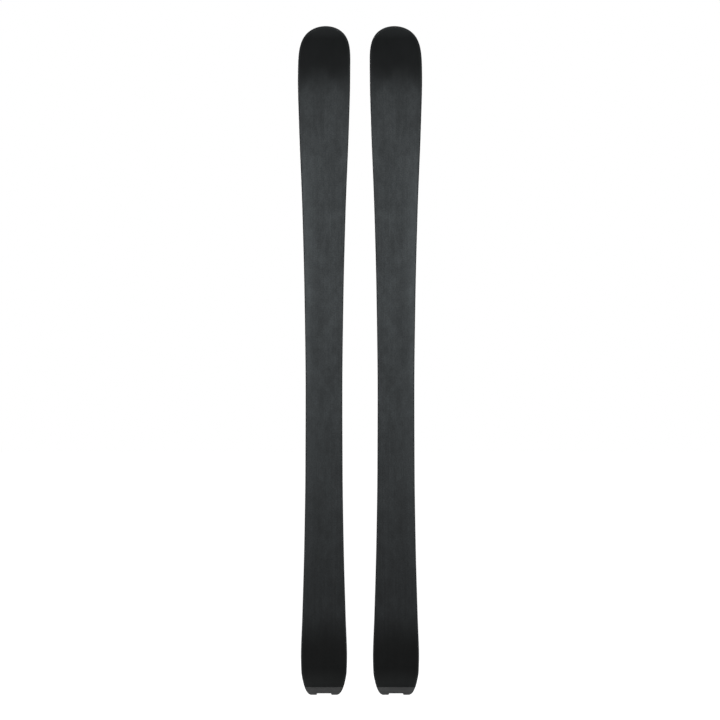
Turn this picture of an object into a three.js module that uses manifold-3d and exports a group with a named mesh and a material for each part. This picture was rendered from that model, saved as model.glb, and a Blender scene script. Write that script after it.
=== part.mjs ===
// A pair of touring skis with brakeless pin bindings, standing upright on their tails.
// Millimetres. +Z runs from the tails to the tips, the running bases face -Y and the bindings face +Y.
// X = 0 is midway between the two skis, Z = 0 is the tail ends and Y = 0 is half the depth of the pair.
import * as THREE from "three";
import { mergeVertices } from "three/addons/utils/BufferGeometryUtils.js";
import Module from "manifold-3d";

const wasm = await Module();
wasm.setup();

// ---------------------------------------------------------------- driving dimensions

const LENGTH = 1702; // tail end to tip, straight
const SKI_SPACING = 183; // between the centre lines of the two skis

// Half width of one ski at places along its length, from the cut-off tail to the widest shovel.
const TAIL_END_HALF = 34;
const OUTLINE = [
  [0, TAIL_END_HALF],
  [3, 39.5],
  [10, 45],
  [20, 49.5],
  [35, 53.7],
  [58, 57.7],
  [95, 58.7],
  [200, 55.2],
  [380, 50.2],
  [570, 47.4],
  [770, 46.8],
  [1000, 49.4],
  [1230, 55.1],
  [1450, 63.6],
  [1570, 66.6],
];
// Past the widest shovel the outline is a superellipse, whose apex leans towards the other ski.
const SHOVEL_Z = 1570;
const SHOVEL_HALF = 66.6;
const TIP_ROUND = 132.4;
const TIP_POWER_ALONG = 4.4;
const TIP_POWER_ACROSS = 2;
const TIP_LEAN = 4;

// Side view: tail rocker, camber under the foot, tip rocker.
const TAIL_CONTACT_Z = 190;
const TIP_CONTACT_Z = 1430;
const TAIL_RISE = 18;
const TIP_RISE = 58;
const TAIL_RISE_POWER = 2.2;
const TIP_RISE_POWER = 2.4;
const CAMBER = 3;
const FLAT_FROM_Z = 540; // the stretch under the binding is flat
const FLAT_TO_Z = 1020;

// Thickness of the ski, base to top sheet.
const THICK_TAIL = 5.8;
const THICK_MID = 12;
const THICK_TIP = 5;

// The sandwich, as distances from the running surface and from the top surface.
const BOND = 0.1; // glue line between two layers
const BASE_THICK = 1.35;
const EDGE_WIDTH = 2.2;
const EDGE_HEIGHT = 1.95;
const EDGE_ANCHOR = 4; // width of the anchor flange inside the edge
const LAMINATE = 0.6;
const TOP_THICK = 0.75;
const SIDE_INSET = 0.3; // sidewall behind the steel edge
const SIDE_BEVEL = 2.2; // how far the sidewall leans in at its top
const SIDEWALL_WIDTH = 7.5;
const CORE_TO_Z = 1640;

// Tail protector.
const PROTECTOR_LENGTH = 19.6;
const SEAM = 0.4; // joint between the protector and the ski
const TONGUE_TO_Z = 35;
const TONGUE_INSET = 14;
const NOTCH_DEPTH = 3.6;
const NOTCH_MOUTH = 38;
const NOTCH_FLOOR = 35;

// Binding places along the ski.
const TOE_Z = 905;
const HEEL_Z = 595;
const MOUNT_GAP = 0.3; // gasket under each binding plate

// Toe piece, from its own centre on the top sheet.
const TOE_PLATE = { half: 24, back: -41, front: 43, thick: 4.5 };
const TOE_SCREWS = [
  [-17, -33],
  [17, -33],
  [-17, 33],
  [17, 33],
];
const JAW_PIVOT = { x: 12, y: 11.5 };
const JAW_AXLE_RADIUS = 2.1;
const JAW_HALF_LENGTH = 17.2;
const BEARING_FROM = 18;
const BEARING_TO = 24;
const BEARING_TOP = 17.5;
const TOE_PIN = { y: 32, tip: 29, radius: 3.2 };
const JAW_FACE = 33; // inner face of the jaw, around its pin
const LEVER_PIVOT = { y: 10, z: 32 };
const LEVER_AXLE_RADIUS = 1.9;

// Heel piece, from the turret's axis on the top sheet.
const HEEL_PLATE = { half: 26, back: -44, front: 40, thick: 5 };
const HEEL_SCREWS = [
  [-17, -34],
  [17, -34],
  [-17, 30],
  [17, 30],
];
const BOSS = { radius: 17, top: 11 };
const SPINDLE = { radius: 9, top: 26 };
const TURRET = { half: 22, back: -38, front: 25, bottom: 11.6, top: 46, wall: 3.5 };
const FORK = { x: 14, y: 32, radius: 2.8, back: -21, reach: 38 };
const RISER_PIVOT = { y: 50.5, z: 12 };
const RISER = { half: 12.5, back: -26, thick: 4 };
const RISER_LUG = { from: 13.3, to: 17.5, top: 55 };
const RISER_AXLE_RADIUS = 1.6;
const ADJUSTER = { y: 25, radius: 6, out: 2.5 };

const SCREW = { radius: 2.4, head: 4.6, deep: 8.2 };
const HOLE_GAP = 0.25; // around a shaft or screw in its hole
const ROUND = 12; // facets of a small round part

const TOP_Y = CAMBER + THICK_MID; // top sheet under the bindings, from the snow
const DEPTH = TOP_Y + MOUNT_GAP + RISER_LUG.top;

// ---------------------------------------------------------------- materials

const paint = (color, roughness, metalness) =>
  new THREE.MeshStandardMaterial({ color, roughness, metalness });
const MATERIAL = {
  sole: paint(0x2a2c2d, 0.45, 0),
  edge: paint(0x6d6f70, 0.3, 1),
  fibre: paint(0x5c5a4a, 0.6, 0),
  wood: paint(0xb58f5e, 0.7, 0),
  sidewall: paint(0x141516, 0.5, 0),
  topsheet: paint(0x1b1d1f, 0.5, 0),
  protector: paint(0x454747, 0.5, 0.6),
  plate: paint(0x1a1a1b, 0.45, 0.5),
  alloy: paint(0xa4a6a8, 0.35, 1),
  steel: paint(0x8c8e90, 0.25, 1),
  plastic: paint(0x161717, 0.5, 0),
};

// ---------------------------------------------------------------- ski lines

// A smooth curve through [place, value] points that never overshoots them.
function along(points, place) {
  const last = points.length - 1;
  const slope = (i) => (points[i + 1][1] - points[i][1]) / (points[i + 1][0] - points[i][0]);
  const tangent = (i) => {
    if (i === 0) return slope(0);
    if (i === last) return 0;
    const before = slope(i - 1);
    const after = slope(i);
    return before * after <= 0 ? 0 : (2 * before * after) / (before + after);
  };
  let i = 0;
  while (i < last - 1 && place > points[i + 1][0]) i += 1;
  const [from, low] = points[i];
  const [to, high] = points[i + 1];
  const span = to - from;
  const t = THREE.MathUtils.clamp((place - from) / span, 0, 1);
  const t2 = t * t;
  const t3 = t2 * t;
  return (
    (2 * t3 - 3 * t2 + 1) * low +
    (t3 - 2 * t2 + t) * span * tangent(i) +
    (3 * t2 - 2 * t3) * high +
    (t3 - t2) * span * tangent(i + 1)
  );
}

// Half width of the ski, measured across it at height z.
function halfWidth(z) {
  if (z <= SHOVEL_Z) return along(OUTLINE, z);
  const u = (z - SHOVEL_Z) / TIP_ROUND;
  return SHOVEL_HALF * (1 - u ** TIP_POWER_ALONG) ** (1 / TIP_POWER_ACROSS);
}

// Half width at height z of the outline moved inwards by inset, at right angles to the outline.
function insetHalf(z, inset) {
  if (inset === 0) return halfWidth(z);
  const step = 0.01;
  const slopeAt = (at) => (halfWidth(at + step) - halfWidth(at - step)) / (2 * step);
  let low = z;
  let high = LENGTH - step;
  for (let i = 0; i < 40; i += 1) {
    const middle = (low + high) / 2;
    const slope = slopeAt(middle);
    const moved = middle + (inset * slope) / Math.hypot(1, slope);
    if (moved < z) low = middle;
    else high = middle;
  }
  const slope = slopeAt(low);
  return halfWidth(low) - inset / Math.hypot(1, slope);
}

// How far the centre of the outline leans towards the other ski.
function lean(z) {
  return TIP_LEAN * Math.max(0, (z - SHOVEL_Z) / (LENGTH - SHOVEL_Z)) ** 1.6;
}

// Height of the running surface over the snow.
function rise(z) {
  if (z < TAIL_CONTACT_Z) {
    return TAIL_RISE * ((TAIL_CONTACT_Z - z) / TAIL_CONTACT_Z) ** TAIL_RISE_POWER;
  }
  if (z > TIP_CONTACT_Z) {
    const u = (z - TIP_CONTACT_Z) / (LENGTH - TIP_CONTACT_Z);
    return TIP_RISE * u ** TIP_RISE_POWER;
  }
  const up = THREE.MathUtils.smoothstep(z, TAIL_CONTACT_Z, FLAT_FROM_Z);
  const down = THREE.MathUtils.smoothstep(z, FLAT_TO_Z, TIP_CONTACT_Z);
  return CAMBER * (up - down);
}

// Thickness of the ski.
function thickness(z) {
  const tail = THREE.MathUtils.smoothstep(z, 0, FLAT_FROM_Z);
  const tip = THREE.MathUtils.smoothstep(z, FLAT_TO_Z, LENGTH - 60);
  return THICK_TAIL + (THICK_MID - THICK_TAIL) * tail - (THICK_MID - THICK_TIP) * tip;
}

// The point that lies depth above the running surface, at x from the ski's centre line.
function bent(x, z, depth) {
  const slope = (rise(z + 0.05) - rise(z - 0.05)) / 0.1;
  const size = Math.hypot(1, slope);
  return [x, rise(z) + depth / size, z - (depth * slope) / size];
}

// Places where a layer gets a cross-section: close together where the ski curves.
const STATIONS = [
  0, 3, 10, PROTECTOR_LENGTH, PROTECTOR_LENGTH + SEAM, 35, 58, 95, 140, TAIL_CONTACT_Z,
  260, 340, 430, FLAT_FROM_Z, 660, 770, 890, FLAT_TO_Z,
  1110, 1190, 1270, 1350, TIP_CONTACT_Z, 1480, 1525, SHOVEL_Z,
  1600, 1625, 1645, 1660, 1671, 1680, 1687, 1692.5, 1697, 1700, LENGTH,
];

// ---------------------------------------------------------------- solids

function solidOf(geometry) {
  const plain = geometry.index ? geometry.toNonIndexed() : geometry.clone();
  plain.deleteAttribute("normal");
  plain.deleteAttribute("uv");
  const merged = mergeVertices(plain, 1e-4);
  return new wasm.Manifold(
    new wasm.Mesh({
      numProp: 3,
      vertProperties: merged.attributes.position.array,
      triVerts: new Uint32Array(merged.index.array),
    }),
  );
}

function geometryOf(solid) {
  const mesh = solid.getMesh();
  const geometry = new THREE.BufferGeometry();
  geometry.setAttribute("position", new THREE.BufferAttribute(mesh.vertProperties, 3));
  geometry.setIndex(new THREE.BufferAttribute(mesh.triVerts, 1));
  geometry.computeVertexNormals();
  return geometry;
}

const join = (...solids) => solids.reduce((a, b) => a.add(b));
const cut = (first, ...others) => others.reduce((a, b) => a.subtract(b), first);

// A block between two corners.
function block([x0, y0, z0], [x1, y1, z1]) {
  const shape = new THREE.BoxGeometry(x1 - x0, y1 - y0, z1 - z0);
  shape.translate((x0 + x1) / 2, (y0 + y1) / 2, (z0 + z1) / 2);
  return solidOf(shape);
}

// A round bar along X, Y or Z, from one place on that axis to another.
function bar(axis, radius, from, to, centre, facets = ROUND) {
  const shape = new THREE.CylinderGeometry(radius, radius, to - from, facets);
  shape.rotateY(Math.PI / facets);
  if (axis === "x") shape.rotateZ(-Math.PI / 2);
  if (axis === "z") shape.rotateX(Math.PI / 2);
  const middle = (from + to) / 2;
  const [a, b] = centre;
  if (axis === "x") shape.translate(middle, a, b);
  if (axis === "y") shape.translate(a, middle, b);
  if (axis === "z") shape.translate(a, b, middle);
  return solidOf(shape);
}

// Eases each corner of a polygon: the cut starts up to size before it and ends as far after it.
function eased(points, size, steps = 3) {
  const count = points.length;
  const towards = ([x, y], [u, v]) => {
    const gap = Math.hypot(u - x, v - y);
    const share = Math.min(0.48, size / gap);
    return [x + (u - x) * share, y + (v - y) * share];
  };
  return points.flatMap((corner, i) => {
    const [x0, y0] = towards(corner, points[(i + count - 1) % count]);
    const [x2, y2] = towards(corner, points[(i + 1) % count]);
    const [x1, y1] = corner;
    return Array.from({ length: steps + 1 }, (_, k) => {
      const t = k / steps;
      const s = 1 - t;
      return [
        s * s * x0 + 2 * s * t * x1 + t * t * x2,
        s * s * y0 + 2 * s * t * y1 + t * t * y2,
      ];
    });
  });
}

function outlineOf(points) {
  return new THREE.Shape(points.map(([a, b]) => new THREE.Vector2(a, b)));
}

// Front view [x, y] points, extruded along Z.
function frontProfile(points, from, to) {
  const shape = new THREE.ExtrudeGeometry(outlineOf(points), {
    depth: to - from,
    bevelEnabled: false,
  });
  return solidOf(shape.translate(0, 0, from));
}

// Side view [z, y] points, extruded along X to both sides of the middle.
function sideProfile(points, half) {
  const shape = new THREE.ExtrudeGeometry(outlineOf(points), {
    depth: 2 * half,
    bevelEnabled: false,
  });
  shape.translate(0, 0, -half);
  return solidOf(shape.rotateY(-Math.PI / 2));
}

// A flat plate with rounded corners, lying on the ski.
function roundedPlate({ half, back, front, thick }, corner) {
  const shape = new THREE.Shape();
  shape.moveTo(-half + corner, back);
  shape.lineTo(half - corner, back);
  shape.absarc(half - corner, back + corner, corner, -Math.PI / 2, 0, false);
  shape.lineTo(half, front - corner);
  shape.absarc(half - corner, front - corner, corner, 0, Math.PI / 2, false);
  shape.lineTo(-half + corner, front);
  shape.absarc(-half + corner, front - corner, corner, Math.PI / 2, Math.PI, false);
  shape.lineTo(-half, back + corner);
  shape.absarc(-half + corner, back + corner, corner, Math.PI, 1.5 * Math.PI, false);
  const plate = new THREE.ExtrudeGeometry(shape, {
    depth: thick,
    bevelEnabled: false,
    curveSegments: 3,
  });
  plate.rotateX(Math.PI / 2);
  return solidOf(plate.translate(0, thick, 0));
}

// One layer of the ski, bent to its side view. Each end of the section is an inset and a depth:
// low is the face nearer the snow and high is the face nearer the foot.
function layer(side, low, high, fromZ, toZ) {
  const places = STATIONS.filter((z) => z > fromZ + 0.3 && z < toZ - 0.3);
  places.unshift(fromZ);
  places.push(toZ);
  const points = [];
  for (const z of places) {
    const centre = -side * lean(z);
    const lowHalf = insetHalf(z, low.inset);
    const highHalf = insetHalf(z, high.inset);
    points.push(
      bent(centre - lowHalf, z, low.depth(z)),
      bent(centre + lowHalf, z, low.depth(z)),
      bent(centre + highHalf, z, high.depth(z)),
      bent(centre - highHalf, z, high.depth(z)),
    );
  }
  const faces = [0, 2, 1, 0, 3, 2];
  for (let i = 0; i < places.length - 1; i += 1) {
    for (let k = 0; k < 4; k += 1) {
      const a = 4 * i + k;
      const b = 4 * i + ((k + 1) % 4);
      faces.push(a, b, b + 4, a, b + 4, a + 4);
    }
  }
  const end = 4 * (places.length - 1);
  faces.push(end, end + 1, end + 2, end, end + 2, end + 3);
  const shape = new THREE.BufferGeometry();
  shape.setAttribute("position", new THREE.Float32BufferAttribute(points.flat(), 3));
  shape.setIndex(faces);
  return solidOf(shape);
}

const at = (inset, depth) => ({ inset, depth: typeof depth === "function" ? depth : () => depth });
const underTop = (distance) => (z) => thickness(z) - distance;

// ---------------------------------------------------------------- the ski

const SKI_FROM = PROTECTOR_LENGTH + SEAM;
const CORE_LOW = EDGE_HEIGHT + BOND + LAMINATE + BOND;
const CORE_HIGH = TOP_THICK + BOND + LAMINATE + BOND;
const TOP_INSET = SIDE_INSET + SIDE_BEVEL;

function makeSole(side) {
  const inset = EDGE_WIDTH + BOND;
  return layer(side, at(inset, 0), at(inset, BASE_THICK), SKI_FROM, LENGTH - inset);
}

// One rolled steel edge that runs up one side, round the tip and down the other, with its anchor flange.
function makeEdge(side) {
  const rail = layer(side, at(0, 0), at(0, EDGE_HEIGHT), SKI_FROM, LENGTH);
  const solePocket = layer(side, at(EDGE_WIDTH, -2), at(EDGE_WIDTH, BASE_THICK + BOND), 2, LENGTH - EDGE_WIDTH);
  const reach = EDGE_WIDTH + EDGE_ANCHOR;
  const middle = layer(side, at(reach, -3), at(reach, EDGE_HEIGHT + 2), 2, LENGTH - reach);
  return cut(rail, solePocket, middle);
}

function makeLowerLaminate(side) {
  const low = EDGE_HEIGHT + BOND;
  return layer(
    side,
    at(SIDE_INSET, low),
    at(SIDE_INSET, low + LAMINATE),
    SKI_FROM,
    LENGTH - SIDE_INSET,
  );
}

// The sidewall strips and the tip spacer, as one ring that is open at the tail.
function makeSidewall(side) {
  const ring = layer(
    side,
    at(SIDE_INSET, CORE_LOW),
    at(TOP_INSET, underTop(CORE_HIGH)),
    SKI_FROM,
    LENGTH - TOP_INSET,
  );
  const inside = layer(
    side,
    at(SIDEWALL_WIDTH, CORE_LOW - 2),
    at(SIDEWALL_WIDTH, underTop(CORE_HIGH - 2)),
    2,
    CORE_TO_Z + BOND,
  );
  return cut(ring, inside);
}

// Pilot holes for the binding screws, down from the top sheet.
function screwHoles(radius) {
  const places = [
    ...TOE_SCREWS.map(([x, z]) => [x, TOE_Z + z]),
    ...HEEL_SCREWS.map(([x, z]) => [x, HEEL_Z + z]),
  ];
  return places.map((place) =>
    bar("y", radius, TOP_Y - SCREW.deep - 1, TOP_Y + 2, place, 8),
  );
}

function makeCore(side) {
  const inset = SIDEWALL_WIDTH + BOND;
  const body = layer(
    side,
    at(inset, CORE_LOW),
    at(inset, underTop(CORE_HIGH)),
    TONGUE_TO_Z + SEAM,
    CORE_TO_Z,
  );
  return cut(body, ...screwHoles(SCREW.radius + HOLE_GAP));
}

function makeUpperLaminate(side) {
  const body = layer(
    side,
    at(TOP_INSET, underTop(TOP_THICK + BOND + LAMINATE)),
    at(TOP_INSET, underTop(TOP_THICK + BOND)),
    SKI_FROM,
    LENGTH - TOP_INSET,
  );
  return cut(body, ...screwHoles(SCREW.radius + HOLE_GAP));
}

function makeTopSheet(side) {
  const body = layer(
    side,
    at(TOP_INSET, underTop(TOP_THICK)),
    at(TOP_INSET, underTop(0)),
    SKI_FROM,
    LENGTH - TOP_INSET,
  );
  return cut(body, ...screwHoles(SCREW.radius + HOLE_GAP));
}

// The alloy cap that closes the tail, with a notch for a climbing skin's clip.
function makeProtector(side) {
  const cap = layer(side, at(0, 0), at(0, underTop(0)), 0, PROTECTOR_LENGTH);
  const tongue = layer(
    side,
    at(TONGUE_INSET, CORE_LOW + BOND),
    at(TONGUE_INSET, underTop(CORE_HIGH + BOND)),
    10,
    TONGUE_TO_Z,
  );
  const reach = 40;
  const past = 4;
  const splay = ((NOTCH_MOUTH - NOTCH_FLOOR) / 2) * (past / NOTCH_DEPTH);
  const notch = new THREE.ExtrudeGeometry(
    outlineOf([
      [-NOTCH_MOUTH / 2 - splay, -past],
      [NOTCH_MOUTH / 2 + splay, -past],
      [NOTCH_FLOOR / 2, NOTCH_DEPTH],
      [-NOTCH_FLOOR / 2, NOTCH_DEPTH],
    ]),
    { depth: 2 * reach, bevelEnabled: false },
  );
  notch.rotateX(Math.PI / 2).translate(0, reach, 0);
  return cut(join(cap, tongue), solidOf(notch));
}

// ---------------------------------------------------------------- screws

// A countersunk screw whose head sits flush in a plate that is plateThick thick.
function screw(plateThick) {
  const headDepth = 2.6;
  const top = plateThick - 0.2;
  const profile = [
    [0, -SCREW.deep],
    [SCREW.radius, -SCREW.deep + 1.5],
    [SCREW.radius, top - headDepth],
    [SCREW.head, top - 0.5],
    [SCREW.head, top],
    [0, top],
  ];
  const turned = new THREE.LatheGeometry(
    profile.map(([r, y]) => new THREE.Vector2(r, y)),
    8,
  );
  const recess = bar("y", 1.9, top - 1.4, top + 1, [0, 0], 6);
  return cut(solidOf(turned), recess);
}

function screwSeat(plateThick, [x, z]) {
  const gap = HOLE_GAP;
  const top = plateThick - 0.2;
  const profile = [
    [0, -1],
    [SCREW.radius + gap, -1],
    [SCREW.radius + gap, top - 2.6 - gap],
    [SCREW.head + gap, top - 0.5 - gap],
    [SCREW.head + gap, plateThick + 1],
    [0, plateThick + 1],
  ];
  const seat = new THREE.LatheGeometry(
    profile.map(([r, y]) => new THREE.Vector2(r, y)),
    8,
  );
  return solidOf(seat.translate(x, 0, z));
}

// ---------------------------------------------------------------- toe piece

function makeToeBase() {
  const plate = roundedPlate(TOE_PLATE, 9);
  const pair = (make) => [make(-1), make(1)];
  const bearing = (from, to, inner) => (sign) => {
    const outer = 19;
    const shape = frontProfile(
      [
        [inner, TOE_PLATE.thick - 1],
        [outer, TOE_PLATE.thick - 1],
        [outer, BEARING_TOP - 6.5],
        [outer - 0.8, BEARING_TOP - 3.4],
        [outer - 2.8, BEARING_TOP - 1],
        [outer - 5.8, BEARING_TOP],
        [inner, BEARING_TOP],
      ],
      from,
      to,
    );
    return sign > 0 ? shape : shape.mirror([1, 0, 0]);
  };
  const lug = (sign) =>
    block(
      [sign > 0 ? 7 : -10.5, TOE_PLATE.thick - 1, 27],
      [sign > 0 ? 10.5 : -7, LEVER_PIVOT.y + 4.5, 37],
    );
  const axleHole = (sign) =>
    bar("z", JAW_AXLE_RADIUS + HOLE_GAP, -30, 26, [sign * JAW_PIVOT.x, JAW_PIVOT.y]);
  const leverHole = bar("x", LEVER_AXLE_RADIUS + HOLE_GAP, -20, 20, [
    LEVER_PIVOT.y,
    LEVER_PIVOT.z,
  ]);
  const body = join(
    plate,
    ...pair(bearing(-BEARING_TO, -BEARING_FROM, 0.2)),
    block([-1, 4, -BEARING_TO], [1, BEARING_TOP, -BEARING_FROM]),
    ...pair(bearing(BEARING_FROM, BEARING_TO, 7.8)),
    ...pair(lug),
  );
  return cut(
    body,
    ...pair(axleHole),
    leverHole,
    ...TOE_SCREWS.map((place) => screwSeat(TOE_PLATE.thick, place)),
  );
}

// One jaw, for the side where sign points: hub, raised arm and the short toggle that the boot steps on.
function makeJaw(sign) {
  const arm = frontProfile(
    eased([
      [6.6, 9],
      [8.5, 6.9],
      [12, 6],
      [17, 7.2],
      [28, 11.5],
      [37, 18.5],
      [41.8, 27],
      [42.5, 34],
      [40, 38],
      [35, 38.5],
      [JAW_FACE, 36],
      [JAW_FACE, 27],
      [29.5, 21.5],
      [21, 17],
      [12, 17.3],
      [8.5, 16],
      [6.6, 14],
    ], 5),
    -JAW_HALF_LENGTH,
    JAW_HALF_LENGTH,
  );
  const taper = sideProfile(
    eased([
      [-18, 5],
      [18, 5],
      [18, 16],
      [9, 30],
      [7.5, 40],
      [-7.5, 40],
      [-9, 30],
      [-18, 16],
    ], 4),
    50,
  );
  const toggle = frontProfile(
    [
      [1.5, 9.6],
      [6.3, 9.2],
      [6.3, 13.8],
      [1.5, 13],
    ],
    -4,
    23,
  );
  const web = frontProfile(
    [
      [5.8, 9.6],
      [8, 8],
      [8, 15],
      [5.8, 13.6],
    ],
    -4,
    JAW_HALF_LENGTH,
  );
  const body = cut(
    join(arm.intersect(taper), toggle, web),
    bar("z", JAW_AXLE_RADIUS + HOLE_GAP, -20, 20, [JAW_PIVOT.x, JAW_PIVOT.y]),
    bar("x", TOE_PIN.radius + HOLE_GAP, 30, 45, [TOE_PIN.y, 0]),
  );
  return sign > 0 ? body : body.mirror([1, 0, 0]);
}

// The hardened pin that locks into the boot's toe fitting.
function makeToePin(sign) {
  const { tip, radius } = TOE_PIN;
  const profile = [
    [0, tip],
    [1.4, tip],
    [2.2, tip + 1.2],
    [radius, tip + 3.8],
    [radius, 42],
    [0, 42],
  ];
  const turned = new THREE.LatheGeometry(
    profile.map(([r, y]) => new THREE.Vector2(r, y)),
    ROUND,
  );
  turned.rotateZ(-Math.PI / 2).translate(0, TOE_PIN.y, 0);
  const body = solidOf(turned);
  return sign > 0 ? body : body.mirror([1, 0, 0]);
}

function makeToeAxle(sign) {
  return bar("z", JAW_AXLE_RADIUS, -24.6, 24.6, [sign * JAW_PIVOT.x, JAW_PIVOT.y]);
}

// The lever that is pressed down to open the jaws, with a cup for a pole tip at its end.
function makeToeLever() {
  const { y, z } = LEVER_PIVOT;
  const finger = sideProfile(
    [
      [z - 3, y - 3.6],
      [z - 3, y + 2],
      [z - 8, y - 0.9],
      [z - 10.8, y - 0.9],
      [z - 10.8, y - 3.2],
    ],
    3.6,
  );
  const handle = sideProfile(
    eased([
      [z - 4.2, y - 2],
      [z - 1.5, y - 4.4],
      [z + 3.5, y - 3.5],
      [z + 30, y + 6],
      [z + 49, y + 11.5],
      [z + 51, y + 15],
      [z + 47, y + 18],
      [z + 34, y + 14.5],
      [z + 4, y + 4.2],
      [z - 1, y + 4.6],
      [z - 4.2, y + 2.6],
    ], 2.5),
    6.4,
  );
  const paddle = sideProfile(
    eased([
      [z + 25, y + 4.6],
      [z + 30, y + 6],
      [z + 49, y + 11.5],
      [z + 51, y + 15],
      [z + 47, y + 18],
      [z + 25, y + 11.5],
    ], 2.5),
    11,
  );
  const cup = bar("y", 4.5, y + 13.2, y + 30, [0, z + 40.5], ROUND);
  const hole = bar("x", LEVER_AXLE_RADIUS + HOLE_GAP, -20, 20, [y, z]);
  return cut(join(finger, handle, paddle), cup, hole);
}

// ---------------------------------------------------------------- heel piece

function makeHeelBase() {
  const plate = roundedPlate(HEEL_PLATE, 9);
  const boss = bar("y", BOSS.radius, 2, BOSS.top, [0, 0], 20);
  const seat = bar("y", SPINDLE.radius + HOLE_GAP, -1, BOSS.top + 1, [0, 0], 16);
  return cut(
    join(plate, boss),
    seat,
    ...HEEL_SCREWS.map((place) => screwSeat(HEEL_PLATE.thick, place)),
  );
}

function makeSpindle() {
  return bar("y", SPINDLE.radius, 0.1, SPINDLE.top, [0, 0], 16);
}

// An upright prism whose plan is a rectangle with its four corners cut off.
function plan(half, back, front, rearCut, frontCut, easing) {
  const points = [
    [-half, back + rearCut],
    [-half + rearCut, back],
    [half - rearCut, back],
    [half, back + rearCut],
    [half, front - frontCut],
    [half - frontCut, front],
    [-half + frontCut, front],
    [-half, front - frontCut],
  ];
  const shape = new THREE.ExtrudeGeometry(outlineOf(easing ? eased(points, easing) : points), {
    depth: 60,
    bevelEnabled: false,
  });
  return solidOf(shape.rotateX(Math.PI / 2).translate(0, 60, 0));
}

// The hollow housing that turns on the spindle. On top are the lugs of the climbing aid and the two
// pads that the aid rests on, folded back or flipped forward.
function makeTurret() {
  const { half, back, front, bottom, top, wall } = TURRET;
  const shell = sideProfile(
    eased([
      [back, bottom],
      [front, bottom],
      [front, top - 5],
      [front - 4, top],
      [back + 20, top],
      [back + 5, top - 8],
      [back, top - 16],
    ], 3),
    half,
  );
  const cavity = sideProfile(
    [
      [back + wall, bottom + 4.4],
      [front - wall, bottom + 4.4],
      [front - wall, top - 5.5],
      [front - wall - 2, top - 3.5],
      [back + 20, top - 3.5],
      [back + wall + 4.5, top - 10.5],
      [back + wall, top - 17.5],
    ],
    half - wall,
  );
  const shoulders = frontProfile(
    eased([
      [-half, bottom],
      [half, bottom],
      [half, top - 5],
      [half - 4, top],
      [4 - half, top],
      [-half, top - 5],
    ], 3),
    back,
    front,
  );
  const outside = shell.intersect(plan(half, back, front, 9, 5, 5)).intersect(shoulders);
  const inside = cavity.intersect(plan(half - wall, back + wall, front - wall, 7, 3, 0));
  const lugWidth = RISER_LUG.to - RISER_LUG.from;
  const lug = (sign) =>
    solidOf(
      geometryOf(
        sideProfile(
          eased([
            [RISER_PIVOT.z - 7, top - 2],
            [RISER_PIVOT.z + 7, top - 2],
            [RISER_PIVOT.z + 5, RISER_LUG.top],
            [RISER_PIVOT.z - 5, RISER_LUG.top],
          ], 4),
          lugWidth / 2,
        ),
      ).translate((sign * (RISER_LUG.from + RISER_LUG.to)) / 2, 0, 0),
    );
  const padTop = RISER_PIVOT.y - RISER.thick / 2 - 0.3;
  const pad = (from, to) => block([-9, top - 1, from], [9, padTop, to]);
  const bore = bar("y", SPINDLE.radius + 0.4, 5, 20, [0, 0], 16);
  const prongHole = (sign) =>
    bar("z", FORK.radius + HOLE_GAP, 10, 30, [sign * FORK.x, FORK.y], 10);
  const adjusterHole = bar(
    "z",
    ADJUSTER.radius + HOLE_GAP,
    back - 2,
    back + 8,
    [0, ADJUSTER.y],
    16,
  );
  const axleHole = bar("x", RISER_AXLE_RADIUS + HOLE_GAP, -30, 30, [RISER_PIVOT.y, RISER_PIVOT.z]);
  return cut(
    join(outside, lug(-1), lug(1), pad(-15, -10), pad(17.5, 20.5)),
    inside,
    bore,
    prongHole(-1),
    prongHole(1),
    adjusterHole,
    axleHole,
  );
}

// The U-shaped steel fork whose two ends hold the boot's heel.
function makeFork() {
  const { x, y, radius, back, reach } = FORK;
  const prong = (sign) => bar("z", radius, back, reach, [sign * x, y], 10);
  const bridge = bar("x", radius, -x, x, [y, back], 10);
  return join(prong(-1), prong(1), bridge);
}

// The flip-over climbing aid.
function makeRiser() {
  const { y, z } = RISER_PIVOT;
  const { half, back, thick } = RISER;
  const arm = sideProfile(
    eased([
      [back, y - thick / 2],
      [z + 3, y - thick / 2],
      [z + 4, y],
      [z + 3, y + thick / 2],
      [back + 8, y + thick / 2],
      [back + 5, y + thick / 2 + 1.6],
      [back, y + thick / 2 + 1.6],
    ], 1.5),
    half,
  );
  const window = block([-6, y - 8, back + 10], [6, y + 8, z - 8]);
  const hole = bar("x", RISER_AXLE_RADIUS + HOLE_GAP, -30, 30, [y, z]);
  return cut(arm, window, hole);
}

// The release screw in the back of the turret, with a slot for a driver.
function makeAdjuster() {
  const { y, radius, out } = ADJUSTER;
  const back = TURRET.back;
  const body = bar("z", radius, back - out, back + 9, [0, y], 16);
  const slot = block([-5, y - 0.8, back - out - 1], [5, y + 0.8, back - out + 1.4]);
  return cut(body, slot);
}

// ---------------------------------------------------------------- assembly

const pair = new THREE.Group();

function put(group, name, solid, material) {
  const mesh = new THREE.Mesh(geometryOf(solid), MATERIAL[material]);
  mesh.name = name;
  group.add(mesh);
  return mesh;
}

// Fixes a row of identical screws, each its own mesh.
function putScrews(group, name, places, plateThick) {
  places.forEach(([x, z], i) => {
    const mesh = put(group, `${name}_${i + 1}`, screw(plateThick), "steel");
    mesh.position.set(x, 0, z);
  });
}

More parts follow.
